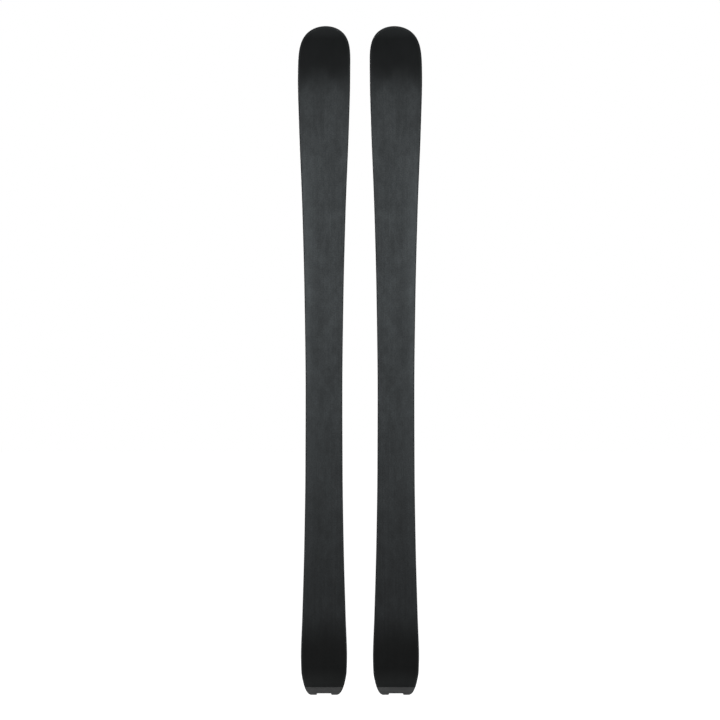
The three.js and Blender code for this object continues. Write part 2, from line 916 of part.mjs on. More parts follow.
function addToePiece(ski, hand, side) {
  const toe = new THREE.Group();
  toe.position.set(0, TOP_Y + MOUNT_GAP, TOE_Z);
  put(toe, `${hand}_toe_base`, makeToeBase(), "plate");
  for (const [place, sign] of [["outer", side], ["inner", -side]]) {
    put(toe, `${hand}_toe_jaw_${place}`, makeJaw(sign), "alloy");
    put(toe, `${hand}_toe_pin_${place}`, makeToePin(sign), "steel");
    put(toe, `${hand}_toe_axle_${place}`, makeToeAxle(sign), "steel");
  }
  put(toe, `${hand}_toe_lever`, makeToeLever(), "plastic");
  putScrews(toe, `${hand}_toe_screw`, TOE_SCREWS, TOE_PLATE.thick);
  ski.add(toe);
}

function addHeelPiece(ski, hand) {
  const heel = new THREE.Group();
  heel.position.set(0, TOP_Y + MOUNT_GAP, HEEL_Z);
  put(heel, `${hand}_heel_base`, makeHeelBase(), "plate");
  put(heel, `${hand}_heel_spindle`, makeSpindle(), "steel");
  put(heel, `${hand}_heel_turret`, makeTurret(), "plastic");
  put(heel, `${hand}_heel_fork`, makeFork(), "steel");
  put(heel, `${hand}_heel_riser`, makeRiser(), "alloy");
  put(heel, `${hand}_heel_adjuster`, makeAdjuster(), "alloy");
  putScrews(heel, `${hand}_heel_screw`, HEEL_SCREWS, HEEL_PLATE.thick);
  ski.add(heel);
}

// side is -1 for the ski on the -X side and +1 for the other: their tips lean towards each other.
function addSki(hand, side) {
  const ski = new THREE.Group();
  ski.position.set((side * SKI_SPACING) / 2, -DEPTH / 2, 0);
  put(ski, `${hand}_sole`, makeSole(side), "sole");
  put(ski, `${hand}_steel_edge`, makeEdge(side), "edge");
  put(ski, `${hand}_lower_laminate`, makeLowerLaminate(side), "fibre");
  put(ski, `${hand}_core`, makeCore(side), "wood");
  put(ski, `${hand}_sidewall`, makeSidewall(side), "sidewall");
  put(ski, `${hand}_upper_laminate`, makeUpperLaminate(side), "fibre");
  put(ski, `${hand}_top_sheet`, makeTopSheet(side), "topsheet");
  put(ski, `${hand}_tail_protector`, makeProtector(side), "protector");
  addToePiece(ski, hand, side);
  addHeelPiece(ski, hand);
  pair.add(ski);
}

addSki("left", -1);
addSki("right", 1);

export default pair;
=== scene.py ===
"""A pair of touring skis, standing tails down with their running bases to the camera.

Lengths and places are in millimetres in the CAD's own frame until a mesh is made, when MM turns
them into metres. The textures, the room, the lights and the camera are in metres. +Z runs from
the tails to the tips and the bindings face +Y.
"""

import math

import bmesh
import bpy
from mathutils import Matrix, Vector


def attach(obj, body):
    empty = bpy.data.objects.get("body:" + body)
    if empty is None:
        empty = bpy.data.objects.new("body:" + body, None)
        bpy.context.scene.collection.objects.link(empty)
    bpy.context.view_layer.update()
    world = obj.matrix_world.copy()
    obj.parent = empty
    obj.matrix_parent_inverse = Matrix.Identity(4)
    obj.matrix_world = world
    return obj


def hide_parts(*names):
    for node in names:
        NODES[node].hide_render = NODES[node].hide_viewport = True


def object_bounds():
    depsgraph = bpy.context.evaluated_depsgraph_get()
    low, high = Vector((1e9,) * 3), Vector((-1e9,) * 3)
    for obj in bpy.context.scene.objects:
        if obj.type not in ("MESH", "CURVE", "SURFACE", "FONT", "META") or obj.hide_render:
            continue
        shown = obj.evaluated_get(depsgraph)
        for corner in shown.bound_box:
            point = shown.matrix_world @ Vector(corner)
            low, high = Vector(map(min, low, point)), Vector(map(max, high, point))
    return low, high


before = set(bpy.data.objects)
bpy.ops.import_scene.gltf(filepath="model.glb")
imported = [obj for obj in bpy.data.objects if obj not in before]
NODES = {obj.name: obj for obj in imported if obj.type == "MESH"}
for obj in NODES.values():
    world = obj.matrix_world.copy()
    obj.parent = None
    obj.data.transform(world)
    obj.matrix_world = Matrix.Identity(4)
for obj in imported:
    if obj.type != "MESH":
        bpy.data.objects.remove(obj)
CAD_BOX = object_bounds()
MM = 0.001

# ---------------------------------------------------------------- dimensions

LENGTH = 1702
SKI_SPACING = 183
BASE_Y = CAD_BOX[0].y / MM  # the snow side of the bases, at the contact points

SHOVEL_Z = 1570
SHOVEL_HALF = 66.6
# Half the width of a ski at its tail, waist and shovel and between them, as (z, half width).
OUTLINE = [
    (0, 34), (3, 39.5), (10, 45), (20, 49.5), (35, 53.7), (58, 57.7), (95, 58.7), (200, 55.2),
    (380, 50.2), (570, 47.4), (770, 46.8), (1000, 49.4), (1230, 55.1), (1450, 63.6),
    (SHOVEL_Z, SHOVEL_HALF),
]
# Past the shovel the outline is a superellipse with these powers.
TIP_POWER_ALONG = 4.4
TIP_POWER_ACROSS = 2
TIP_LEAN = 4  # how far each tip leans towards the other ski
LEAN_POWER = 1.6

TAIL_CONTACT_Z = 190
TIP_CONTACT_Z = 1430
TAIL_RISE = 18
TIP_RISE = 58
TAIL_RISE_POWER = 2.2
TIP_RISE_POWER = 2.4
CAMBER = 3
FLAT_FROM_Z = 540
FLAT_TO_Z = 1020
THINNEST_FROM_Z = LENGTH - 60
THICK_TAIL = 5.8
THICK_MID = 12
THICK_TIP = 5

BASE_THICK = 1.35
EDGE_WIDTH = 2.2
EDGE_HEIGHT = 1.95
EDGE_REACH = 6.2
# The layers' depths over the running surface, and below the ski's top.
LOWER_GLASS_FROM = 2.05
LOWER_GLASS_TO = 2.65
SIDEWALL_FROM = 2.75
SIDEWALL_BELOW_TOP = 1.55
SIDEWALL_INNER_INSET = 7.5
UPPER_GLASS_FROM_BELOW_TOP = 1.45
UPPER_GLASS_TO_BELOW_TOP = 0.85
TOP_SHEET_BELOW_TOP = 0.75
TOP_INSET = 2.5  # the upper layers end this far inside the outline

SKI_FROM = 19.75  # where the ski's layers meet the tail protector
PROTECTOR_LENGTH = 19.65
PROTECTOR_BEVEL = 0.45
NOTCH_DEPTH = 3.6
NOTCH_MOUTH = 38
NOTCH_FLOOR = 35
NOTCH_CORNER = 0.7
RIVET_SIDES = (-28, 28)
RIVET_Z = 11.5

PLATE_GAP = 0.3
TOP_Y = BASE_Y + CAMBER + THICK_MID + PLATE_GAP  # where the binding plates stand
TOE_Z = 905
HEEL_Z = 595
TOE_PLATE = 4.5
HEEL_PLATE = 5
SCREW_SUNK = 0.2
# Each binding piece is placed from its foot: OUT is away from the ski, UP towards the tip.
PIN_OUT = 32  # the toe pins and the heel's prongs, which hold the boot
JAW_AXLE_SIDE = 12
JAW_AXLE_OUT = 11.5
LEVER_AXLE_OUT = 10
LEVER_AXLE_UP = 32
SPRING_OUT = 11.5
SPRING_UP = -10.5
SPRING_TURNS = 7
SPRING_RADIUS = 3.4
SPRING_REACH = 5.3
SPRING_WIRE = 0.55
STEPS_A_TURN = 24
FORK_HALF = 14
FORK_TOP = 37.1
FORK_CORNER = 4
FORK_CORNER_UP = -17
FORK_BAR = 2.8
RISER_AXLE_OUT = 50.5
RISER_AXLE_UP = 12
TOE_SCREWS = [(-17, -33), (17, -33), (-17, 33), (17, 33)]
HEEL_SCREWS = [(-17, -34), (17, -34), (-17, 30), (17, 30)]
HANDS = {"left": -1, "right": 1}

# The stretch of the base that meets the snow is stone-ground. The shovel and the tail are not.
# It fades in and out between these heights, in metres.
GROUND_FROM = (0.115, 0.228)
GROUND_TO = (1.52, 1.605)

# How bright the room is that the surfaces reflect, in front of the skis and behind them.
ROOM_FRONT = 0.1
ROOM_BACK = 0.34
ROOM_OVERHEAD = 0.45  # overhead, as a share of that

FLOOR_SIZE = 160
FLOOR_DROP = 0.0006
FLOOR_GREY = 0.18

LENS = 600
SENSOR = 36
PICTURE_WIDTH = 1.8298  # what the picture spans at the bases, in metres
EYE_HEIGHT = 0.8516

# Name, place, what it points at, width, height and watts.
SOFTBOXES = [
    ("front_left_box", (-2.8, -2.6, 1.5), (0, 0, 1.1), 1.4, 2.0, 108),
    ("front_right_box", (2.8, -2.6, 1.5), (0, 0, 1.1), 1.4, 2.0, 108),
    ("back_box", (-1.5, 2.5, 2.2), (0, 0, 0.85), 1.9, 2.2, 120),
    ("back_side_box", (2.1, 2.4, 1.0), (0, 0, 0.8), 1.0, 2.4, 24),
]

# How the edges of the CAD's own meshes are shaded and broken, and how Blender's viewport shows all.
SMOOTH_UNDER = 38  # degrees
BEVEL_OVER = 35  # degrees
PREVIEW_GREY = (0.5, 0.5, 0.5, 1)

# ---------------------------------------------------------------- ski lines


def smoothstep(value, low, high):
    t = min(1, max(0, (value - low) / (high - low)))
    return t * t * (3 - 2 * t)


def along(points, place):
    """A smooth curve through (place, value) points that never overshoots them."""
    last = len(points) - 1

    def slope(i):
        return (points[i + 1][1] - points[i][1]) / (points[i + 1][0] - points[i][0])

    def tangent(i):
        if i == 0:
            return slope(0)
        if i == last:
            return 0
        before, after = slope(i - 1), slope(i)
        return 0 if before * after <= 0 else 2 * before * after / (before + after)

    i = 0
    while i < last - 1 and place > points[i + 1][0]:
        i += 1
    start, low = points[i]
    end, high = points[i + 1]
    span = end - start
    t = min(1, max(0, (place - start) / span))
    return (
        (2 * t**3 - 3 * t**2 + 1) * low
        + (t**3 - 2 * t**2 + t) * span * tangent(i)
        + (3 * t**2 - 2 * t**3) * high
        + (t**3 - t**2) * span * tangent(i + 1)
    )


def rise(z):
    """Height of the running surface over the snow."""
    if z < TAIL_CONTACT_Z:
        return TAIL_RISE * ((TAIL_CONTACT_Z - z) / TAIL_CONTACT_Z) ** TAIL_RISE_POWER
    if z > TIP_CONTACT_Z:
        return TIP_RISE * ((z - TIP_CONTACT_Z) / (LENGTH - TIP_CONTACT_Z)) ** TIP_RISE_POWER
    up = smoothstep(z, TAIL_CONTACT_Z, FLAT_FROM_Z)
    return CAMBER * (up - smoothstep(z, FLAT_TO_Z, TIP_CONTACT_Z))


def thickness(z):
    """From the running surface to the top."""
    tail = smoothstep(z, 0, FLAT_FROM_Z)
    tip = smoothstep(z, FLAT_TO_Z, THINNEST_FROM_Z)
    return THICK_TAIL + (THICK_MID - THICK_TAIL) * tail - (THICK_MID - THICK_TIP) * tip


def lean(z):
    """How far the middle of a ski lies towards the other ski."""
    return TIP_LEAN * max(0, (z - SHOVEL_Z) / (LENGTH - SHOVEL_Z)) ** LEAN_POWER


def bent(side, x, z, depth):
    """The point that lies depth above the running surface of one ski, in metres."""
    slope = (rise(z + 0.05) - rise(z - 0.05)) / 0.1
    size = math.hypot(1, slope)
    centre = side * (SKI_SPACING / 2 - lean(z))
    return Vector(
        (centre + x, BASE_Y + rise(z) + depth / size, z - depth * slope / size)
    ) * MM


def outline_point(t):
    """Half outline: t runs from 0 at the tail to 1 at the shovel and on to 2 at the tip.
    Gives (x, z) and the direction inwards."""
    if t <= 1:
        z = SHOVEL_Z * t
        # The curve keeps its first value below 0, so there the slope is taken over half the step.
        slope = (along(OUTLINE, z + 0.5) - along(OUTLINE, z - 0.5)) / (1 if z > 0.5 else 0.5)
        inwards = Vector((-1, slope))
        return Vector((along(OUTLINE, z), z)), inwards.normalized()
    angle = (t - 1) * math.pi / 2
    across = max(0, math.cos(angle)) ** (2 / TIP_POWER_ACROSS)
    up = math.sin(angle) ** (2 / TIP_POWER_ALONG)
    reach = LENGTH - SHOVEL_Z
    inwards = -Vector(
        (
            TIP_POWER_ACROSS / SHOVEL_HALF * across ** (TIP_POWER_ACROSS - 1),
            TIP_POWER_ALONG / reach * up ** (TIP_POWER_ALONG - 1),
        )
    )
    return Vector((SHOVEL_HALF * across, SHOVEL_Z + reach * up)), inwards.normalized()


def inset_outline(inset, from_z):
    """(x, z) points of the half outline, moved inwards, from a cut at from_z to the tip."""

    def point(t):
        place, inwards = outline_point(t)
        return place + inwards * inset

    low, high = 0, 0.2  # the cut lies between these, and each round halves the gap
    for _ in range(40):
        middle = (low + high) / 2
        if point(middle).y < from_z:
            low = middle
        else:
            high = middle
    side_steps, tail_steps, tip_steps = 120, 16, 64
    near_tail = high + 0.06
    steps = [high + (near_tail - high) * i / tail_steps for i in range(tail_steps)]
    steps += [near_tail + (1 - near_tail) * i / side_steps for i in range(side_steps)]
    steps += [1 + i / tip_steps for i in range(tip_steps + 1)]
    points = [point(t) for t in steps]
    points[0].y = from_z
    points[-1].x = 0
    return points


# ---------------------------------------------------------------- meshes


def add_mesh(name, vertices, faces, material, body, sharp=35):
    """A new piece that rides on a body. Edges of more than sharp degrees stay sharp."""
    mesh = bpy.data.meshes.new(name)
    mesh.from_pydata([tuple(v) for v in vertices], [], faces)
    shaped = bmesh.new()
    shaped.from_mesh(mesh)
    bmesh.ops.recalc_face_normals(shaped, faces=shaped.faces)
    shaped.to_mesh(mesh)
    shaped.free()
    mesh.materials.append(material)
    mesh.shade_smooth()
    mesh.set_sharp_from_angle(angle=math.radians(sharp))
    piece = bpy.data.objects.new(name, mesh)
    bpy.context.scene.collection.objects.link(piece)
    weigh_normals(piece)
    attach(piece, body)
    return piece


def weigh_normals(piece):
    normals = piece.modifiers.new("normals", "WEIGHTED_NORMAL")
    normals.keep_sharp = True


def ski_layer(name, side, profile, material, body, ring=False):
    """One layer of the ski. profile is the section of its rim: (inset, depth) points from the snow
    side to the top side, or all the way round for a ring that is hollow in its middle. Each depth
    is a function of z."""
    rims = []
    for inset, _ in profile:
        half = inset_outline(inset, SKI_FROM)
        left = [Vector((-p.x, p.y)) for p in half[:-1]]
        right = [Vector((p.x, p.y)) for p in reversed(half)]
        rims.append(left + right)
    count = len(rims[0])
    vertices = []
    for rim, (_, depth) in zip(rims, profile):
        vertices += [bent(side, p.x, p.y, depth(p.y)) for p in rim]
    faces = []
    rows = len(profile)
    for j in range(rows if ring else rows - 1):
        a, b = j * count, (j + 1) % rows * count
        faces += [(a + i, a + i + 1, b + i + 1, b + i) for i in range(count - 1)]
    if ring:
        faces.append([j * count for j in range(rows)])
        faces.append([j * count + count - 1 for j in reversed(range(rows))])
    else:
        for j in (0, rows - 1):
            low, high = j * count, (j + 1) * count - 1
            while high - low > 2:
                faces.append((low, high, high - 1, low + 1))
                low, high = low + 1, high - 1
            faces.append((low, high, low + 1))
        ends = [j * count for j in range(rows)]
        faces.append(ends + [j * count + count - 1 for j in reversed(range(rows))])
    piece = add_mesh(name, vertices, faces, material, body, sharp=50)
    rim_layer = piece.data.attributes.new("rim", "FLOAT", "POINT")
    values = [profile[j][0] for j in range(rows) for _ in range(count)]
    rim_layer.data.foreach_set("value", values)
    return piece


def turned(name, profile, origin, axis, material, body, segments=40, six_sided=()):
    """A lathe piece: (radius, place along the axis) points, from one end to the other. The rows of
    the profile listed in six_sided are hexagons, as in a socket for a key."""
    axis = Vector(axis).normalized()
    across = axis.orthogonal().normalized()
    beside = axis.cross(across)
    vertices, rows = [], []
    for j, (radius, place) in enumerate(profile):
        row = []
        for i in range(segments if radius > 0 else 1):
            angle = 2 * math.pi * i / segments
            size = radius
            if j in six_sided:
                size *= math.cos(math.pi / 6) / math.cos(angle % (math.pi / 3) - math.pi / 6)
            at = Vector(origin) + axis * place
            at += (across * math.cos(angle) + beside * math.sin(angle)) * size
            row.append(len(vertices))
            vertices.append(at * MM)
        rows.append(row)
    faces = []
    for low, high in zip(rows, rows[1:]):
        for i in range(segments):
            k = (i + 1) % segments
            if len(low) == 1:
                faces.append((low[0], high[i], high[k]))
            elif len(high) == 1:
                faces.append((low[i], high[0], low[k]))
            else:
                faces.append((low[i], low[k], high[k], high[i]))
    return add_mesh(name, vertices, faces, material, body)


def swept(name, points, radius, material, body, sides=20):
    """A round wire or bar along a list of points, with domed ends."""
    points = [Vector(p) for p in points]
    first, last = (points[1] - points[0]).normalized(), (points[-1] - points[-2]).normalized()
    dome = [(0.0, 1.0), (0.5, 0.87), (0.87, 0.5)]  # shares of the radius and of the dome's height
    height = 0.35
    smallest = 0.02
    path = [(points[0] - first * radius * height * s, radius * max(r, smallest)) for r, s in dome]
    path += [(p, radius) for p in points]
    for r, s in reversed(dome):
        path.append((points[-1] + last * radius * height * s, radius * max(r, smallest)))
    vertices, faces = [], []
    across = first.orthogonal().normalized()
    for i, (at, size) in enumerate(path):
        before = path[max(0, i - 1)][0]
        after = path[min(len(path) - 1, i + 1)][0]
        ahead = (after - before).normalized()
        across = (across - ahead * across.dot(ahead)).normalized()
        beside = ahead.cross(across)
        for k in range(sides):
            angle = 2 * math.pi * k / sides
            spoke = across * math.cos(angle) + beside * math.sin(angle)
            vertices.append((at + spoke * size) * MM)
    for i in range(len(path) - 1):
        for k in range(sides):
            n = (k + 1) % sides
            a, b = i * sides, (i + 1) * sides
            faces.append((a + k, a + n, b + n, b + k))
    faces.append(list(range(sides)))
    faces.append([(len(path) - 1) * sides + k for k in reversed(range(sides))])
    return add_mesh(name, vertices, faces, material, body, sharp=60)


def make_smoother(angle):
    """A modifier's node group that shades smooth all but the edges sharper than angle."""
    group = bpy.data.node_groups.new("smooth_by_angle", "GeometryNodeTree")
    for way in ("INPUT", "OUTPUT"):
        group.interface.new_socket("Geometry", in_out=way, socket_type="NodeSocketGeometry")
    start = group.nodes.new("NodeGroupInput")
    end = group.nodes.new("NodeGroupOutput")
    faces = group.nodes.new("GeometryNodeSetShadeSmooth")
    faces.domain = "FACE"
    edges = group.nodes.new("GeometryNodeSetShadeSmooth")
    edges.domain = "EDGE"
    edges.inputs["Shade Smooth"].default_value = False
    bend = group.nodes.new("GeometryNodeInputMeshEdgeAngle")
    sharp = group.nodes.new("FunctionNodeCompare")
    sharp.operation = "GREATER_THAN"
    sharp.inputs[1].default_value = math.radians(angle)
    link = group.links.new
    link(start.outputs[0], faces.inputs["Geometry"])
    link(faces.outputs[0], edges.inputs["Geometry"])
    link(bend.outputs["Unsigned Angle"], sharp.inputs[0])
    link(sharp.outputs[0], edges.inputs["Selection"])
    link(edges.outputs[0], end.inputs[0])
    return group


SMOOTHER = make_smoother(SMOOTH_UNDER)


def soften(node, material, width, segments=3):
    """Gives a CAD node its finish and breaks its sharp edges, as machining or a mould would."""
    piece = NODES[node]
    piece.data.materials.clear()
    piece.data.materials.append(material)
    weld = piece.modifiers.new("weld", "WELD")
    weld.merge_threshold = 0.00002
    flat = piece.modifiers.new("flat", "DECIMATE")
    flat.decimate_type = "DISSOLVE"
    flat.angle_limit = math.radians(1)
    bevel = piece.modifiers.new("edges", "BEVEL")
    bevel.width = width * MM
    bevel.segments = segments
    bevel.limit_method = "ANGLE"
    bevel.angle_limit = math.radians(BEVEL_OVER)
    bevel.use_clamp_overlap = True
    piece.modifiers.new("smooth", "NODES").node_group = SMOOTHER
    weigh_normals(piece)
    return piece


# ---------------------------------------------------------------- materials


class Finish:
    """A material whose Principled shader is fed by a few textures in the frame's own metres."""

    def __init__(self, name, **sockets):
        self.material = bpy.data.materials.new(name)
        self.material.use_nodes = True
        self.material.diffuse_color = PREVIEW_GREY
        self.tree = self.material.node_tree
        self.shader = self.tree.nodes["Principled BSDF"]
        self.shader.inputs["Base Color"].default_value = PREVIEW_GREY
        for socket, value in sockets.items():
            self.shader.inputs[socket.replace("_", " ")].default_value = value
        self.place = self.tree.nodes.new("ShaderNodeTexCoord").outputs["Object"]

    def node(self, kind, settings=None, **inputs):
        made = self.tree.nodes.new(kind)
        for key, value in (settings or {}).items():
            setattr(made, key, value)
        for key, value in inputs.items():
            self.feed(made.inputs[key.replace("_", " ")], value)
        return made

    def feed(self, socket, value):
        if isinstance(value, bpy.types.NodeSocket):
            self.tree.links.new(value, socket)
        else:
            socket.default_value = value

    def scaled(self, scale, turn=0):
        mapping = self.node("ShaderNodeMapping", Vector=self.place, Scale=scale)
        mapping.inputs["Rotation"].default_value = (0, turn, 0)
        return mapping.outputs["Vector"]

    def noise(self, scale, detail=3, rough=0.5, turn=0):
        """Noise from 0 to 1; scale gives how many cells a metre holds along X, Y and Z."""
        made = self.node(
            "ShaderNodeTexNoise",
            Vector=self.scaled(scale, turn),
            Scale=1.0,
            Detail=float(detail),
            Roughness=rough,
        )
        return made.outputs[0]

    def math(self, operation, a, b=0.0):
        made = self.node("ShaderNodeMath", {"operation": operation})
        for socket, value in zip(made.inputs, (a, b)):
            self.feed(socket, value)
        return made.outputs[0]

    def remap(self, value, low, high, to_low=0.0, to_high=1.0, smooth=False):
        made = self.node(
            "ShaderNodeMapRange",
            {"interpolation_type": "SMOOTHSTEP" if smooth else "LINEAR"},
            Value=value,
            From_Min=low,
            From_Max=high,
            To_Min=to_low,
            To_Max=to_high,
        )
        return made.outputs[0]

    def height(self):
        return self.node("ShaderNodeSeparateXYZ", Vector=self.place).outputs["Z"]

    def attribute(self, name):
        return self.node("ShaderNodeAttribute", {"attribute_name": name}).outputs["Fac"]

    def mix(self, share, a, b):
        made = self.node("ShaderNodeMix", {"data_type": "RGBA"})
        self.feed(made.inputs[0], share)
        for socket, value in ((made.inputs[6], a), (made.inputs[7], b)):
            self.feed(socket, (*value, 1) if isinstance(value, tuple) else value)
        return made.outputs[2]

    def shade(self, color, amount):
        """color times amount."""
        made = self.node("ShaderNodeVectorMath", {"operation": "SCALE"})
        self.feed(made.inputs[0], color)
        self.feed(made.inputs["Scale"], amount)
        return made.outputs[0]

    def bump(self, height, distance, strength=1.0):
        """A relief of that many millimetres."""
        made = self.node("ShaderNodeBump", Height=height, Strength=strength, Distance=distance * MM)
        if self.shader.inputs["Normal"].is_linked:
            self.feed(made.inputs["Normal"], self.shader.inputs["Normal"].links[0].from_socket)
        self.feed(self.shader.inputs["Normal"], made.outputs[0])

    def set(self, **sockets):
        for socket, value in sockets.items():
            self.feed(self.shader.inputs[socket.replace("_", " ")], value)
        return self.material


def running_base():
    """Sintered polyethylene: stone-ground and greyed where it runs, smooth and black where it never
    meets the snow. Painted shade and painted highlights vary its colour along the ski. The two skis
    are a mirrored pair, and so is all of this."""
    m = Finish("running_base", Specular_IOR_Level=0.35)
    # Across is 0 in the middle of each ski and grows towards its outer edge.
    apart = m.node("ShaderNodeSeparateXYZ", Vector=m.place)
    across = m.math("SUBTRACT", m.math("ABSOLUTE", apart.outputs["X"]), SKI_SPACING / 2 * MM)
    z = apart.outputs["Z"]
    m.place = m.node("ShaderNodeCombineXYZ", X=across, Z=z).outputs[0]

    # Where the ground stretch begins and ends wanders by a few millimetres.
    wander = m.noise((22, 0, 9), 2)
    warped = m.math("ADD", z, m.remap(wander, 0.3, 0.7, -0.007, 0.007))
    tail = m.remap(warped, *GROUND_FROM, smooth=True)
    tip = m.remap(warped, *GROUND_TO, 1.0, 0.0, smooth=True)
    ground = m.math("MULTIPLY", tail, tip)

    # How worn it is: grinding lines, grain, clouds, the paler, oxidised outer side; and painted shade.
    lines = m.noise((230, 0, 5), 4, 0.6)
    grain = m.noise((330, 0, 300), 2, 0.6)
    fine = m.noise((2600, 0, 16), 2, 0.6)
    cloud = m.noise((24, 0, 15), 3, 0.6)
    smudge = m.noise((75, 0, 42), 3, 0.6, turn=0.6)
    wear_and_shade = m.remap(cloud, 0.4, 0.6, 0.88, 1.12)
    wear_and_shade = m.math("MULTIPLY", wear_and_shade, m.remap(lines, 0.4, 0.6, 0.94, 1.06))
    wear_and_shade = m.math("MULTIPLY", wear_and_shade, m.remap(grain, 0.4, 0.6, 0.83, 1.17))
    wear_and_shade = m.math("MULTIPLY", wear_and_shade, m.remap(smudge, 0.4, 0.6, 0.91, 1.09))
    outer = m.remap(across, 0.014, 0.046, smooth=True)
    oxidised = m.math("MULTIPLY", outer, m.remap(z, 1.42, 1.3))
    wear_and_shade = m.math("ADD", wear_and_shade, m.math("MULTIPLY", oxidised, m.remap(z, 0.2, 0.9, 0.15, 0.42)))
    # Painted shade: darker towards the shovel.
    wear_and_shade = m.math("MULTIPLY", wear_and_shade, m.remap(z, 1.36, 1.53, 1.08, 0.8))
    rim = m.remap(m.attribute("rim"), 2.4, 4.2, 0.08, 0.0)
    wear_and_shade = m.math("ADD", wear_and_shade, rim)
    # Painted shade: the ground base is made darker towards the tail, where less light falls.
    worn = m.mix(m.remap(z, 0.25, 1.0), (0.0101, 0.0118, 0.0126), (0.0322, 0.0365, 0.0383))
    # Painted shade: the unworn tail end is darker than the unworn tip end.
    new = m.mix(m.remap(z, 0.3, 1.4), (0.0043, 0.0047, 0.0047), (0.0092, 0.0101, 0.0104))
    new = m.shade(new, m.remap(cloud, 0.4, 0.6, 0.93, 1.07))
    # Painted highlights: the unworn ends are paler at the rim, next to the tail protector and at the
    # very tip.
    new = m.shade(new, m.remap(m.attribute("rim"), 2.4, 7.0, 1.8, 1.0))
    new = m.shade(new, m.remap(z, 0.032, 0.068, 2.7, 0.98))
    new = m.shade(new, m.remap(z, 1.67, 1.695, 1.03, 2.0))
    tone = m.mix(ground, new, m.shade(worn, wear_and_shade))
    rough = m.math("ADD", m.remap(ground, 0, 1, 0.34, 0.46), m.remap(lines, 0.3, 0.7, -0.03, 0.03))
    m.bump(m.math("MULTIPLY", fine, ground), 0.02, 0.35)
    return m.set(Base_Color=tone, Roughness=rough)


def edge_steel():
    """Rolled steel, dark, with a painted highlight that brightens it at the tail and the tip."""
    m = Finish("edge_steel", Metallic=1.0)
    brushed = m.noise((900, 900, 8), 4, 0.6)
    cloud = m.noise((20, 20, 9), 3)
    tone = m.shade((0.09, 0.092, 0.095), m.remap(brushed, 0.3, 0.7, 0.85, 1.12))
    z = m.height()
    # Painted highlight: the steel is made brighter at the tail and the tip.
    end_highlight = m.math("MAXIMUM", m.remap(z, 0.2, 0.15), m.remap(z, 1.52, 1.6))
    tone = m.shade(tone, m.remap(end_highlight, 0, 1, 1.0, 1.8))
    uneven = m.remap(cloud, 0.3, 0.7, -0.04, 0.04)
    rough = m.math("ADD", m.remap(brushed, 0.3, 0.7, 0.27, 0.4), uneven)
    m.bump(brushed, 0.01, 0.4)
    return m.set(Base_Color=tone, Roughness=rough)


def glass_laminate():
    """Glass fibre in resin, drawn along the ski."""
    m = Finish("glass_laminate")
    fibre = m.noise((500, 500, 40), 3)
    tone = m.mix(fibre, (0.12, 0.11, 0.075), (0.21, 0.2, 0.15))
    m.bump(fibre, 0.03, 0.5)
    return m.set(Base_Color=tone, Roughness=0.55)


def wood_core():
    """Wood with its grain and pores along the ski."""
    m = Finish("wood_core")
    staves = m.noise((90, 90, 1.2), 5, 0.62)
    pores = m.noise((900, 900, 22), 2)
    tone = m.mix(staves, (0.3, 0.17, 0.075), (0.56, 0.38, 0.2))
    tone = m.shade(tone, m.remap(pores, 0.35, 0.65, 0.88, 1.05))
    m.bump(staves, 0.1, 0.4)
    return m.set(Base_Color=tone, Roughness=0.6)


def sidewall_plastic():
    """Black ABS, planed and scraped along its length."""
    m = Finish("sidewall_plastic")
    scraped = m.noise((800, 800, 5), 4, 0.6)
    cloud = m.noise((60, 60, 22), 3)
    tone = m.shade((0.014, 0.0142, 0.0148), m.remap(scraped, 0.3, 0.7, 0.75, 1.35))
    uneven = m.remap(cloud, 0.3, 0.7, -0.05, 0.05)
    rough = m.math("ADD", m.remap(scraped, 0.3, 0.7, 0.36, 0.52), uneven)
    m.bump(scraped, 0.02, 0.5)
    return m.set(Base_Color=tone, Roughness=rough)


def top_skin():
    """Satin graphite top sheet over a plain weave of carbon tows, scuffed along its rim."""
    m = Finish("top_skin", Coat_Weight=0.5, Coat_Roughness=0.14)
    tow = 0.0022
    diagonal = m.scaled((1, 0, 1), math.radians(45))
    lifted = m.node("ShaderNodeTexChecker", Vector=diagonal, Scale=1 / tow).outputs["Fac"]

    def ridges(direction):
        """One ridge to each tow: a wave of scale 1 repeats every pi / 10."""
        return m.node(
            "ShaderNodeTexWave",
            {"wave_type": "BANDS", "bands_direction": direction},
            Vector=diagonal,
            Scale=math.pi / (10 * tow),
        ).outputs["Fac"]

    weave = m.mix(lifted, ridges("Z"), ridges("X"))
    cloud = m.noise((10, 10, 5), 3)
    scuffs = m.noise((160, 160, 12), 5, 0.7)
    rim = m.remap(m.attribute("rim"), 2.5, 9, 1.0, 0.0, smooth=True)
    worn = m.math("MULTIPLY", rim, m.remap(scuffs, 0.52, 0.66))
    tone = m.mix(lifted, (0.0068, 0.0074, 0.0086), (0.0116, 0.0126, 0.0144))
    tone = m.shade(tone, m.remap(weave, 0, 1, 0.8, 1.15))
    tone = m.shade(tone, m.remap(cloud, 0.3, 0.7, 0.86, 1.14))
    tone = m.mix(worn, tone, (0.055, 0.057, 0.06))
    rough = m.math("ADD", m.remap(lifted, 0, 1, 0.4, 0.35), m.math("MULTIPLY", worn, 0.2))
    m.bump(weave, 0.03, 0.4)
    m.bump(scuffs, 0.01, 0.3)
    return m.set(Base_Color=tone, Roughness=rough)


def protector_alloy():
    """Dark anodised aluminium, brushed across."""
    m = Finish("protector_alloy", Metallic=0.75)
    brushed = m.noise((14, 14, 1500), 4, 0.6)
    cloud = m.noise((70, 70, 70), 3)
    tone = m.shade((0.13, 0.132, 0.132), m.remap(brushed, 0.4, 0.6, 0.88, 1.1))
    tone = m.shade(tone, m.remap(cloud, 0.3, 0.7, 0.93, 1.07))
    m.bump(brushed, 0.02, 0.4)
    return m.set(Base_Color=tone, Roughness=m.remap(brushed, 0.3, 0.7, 0.38, 0.55))


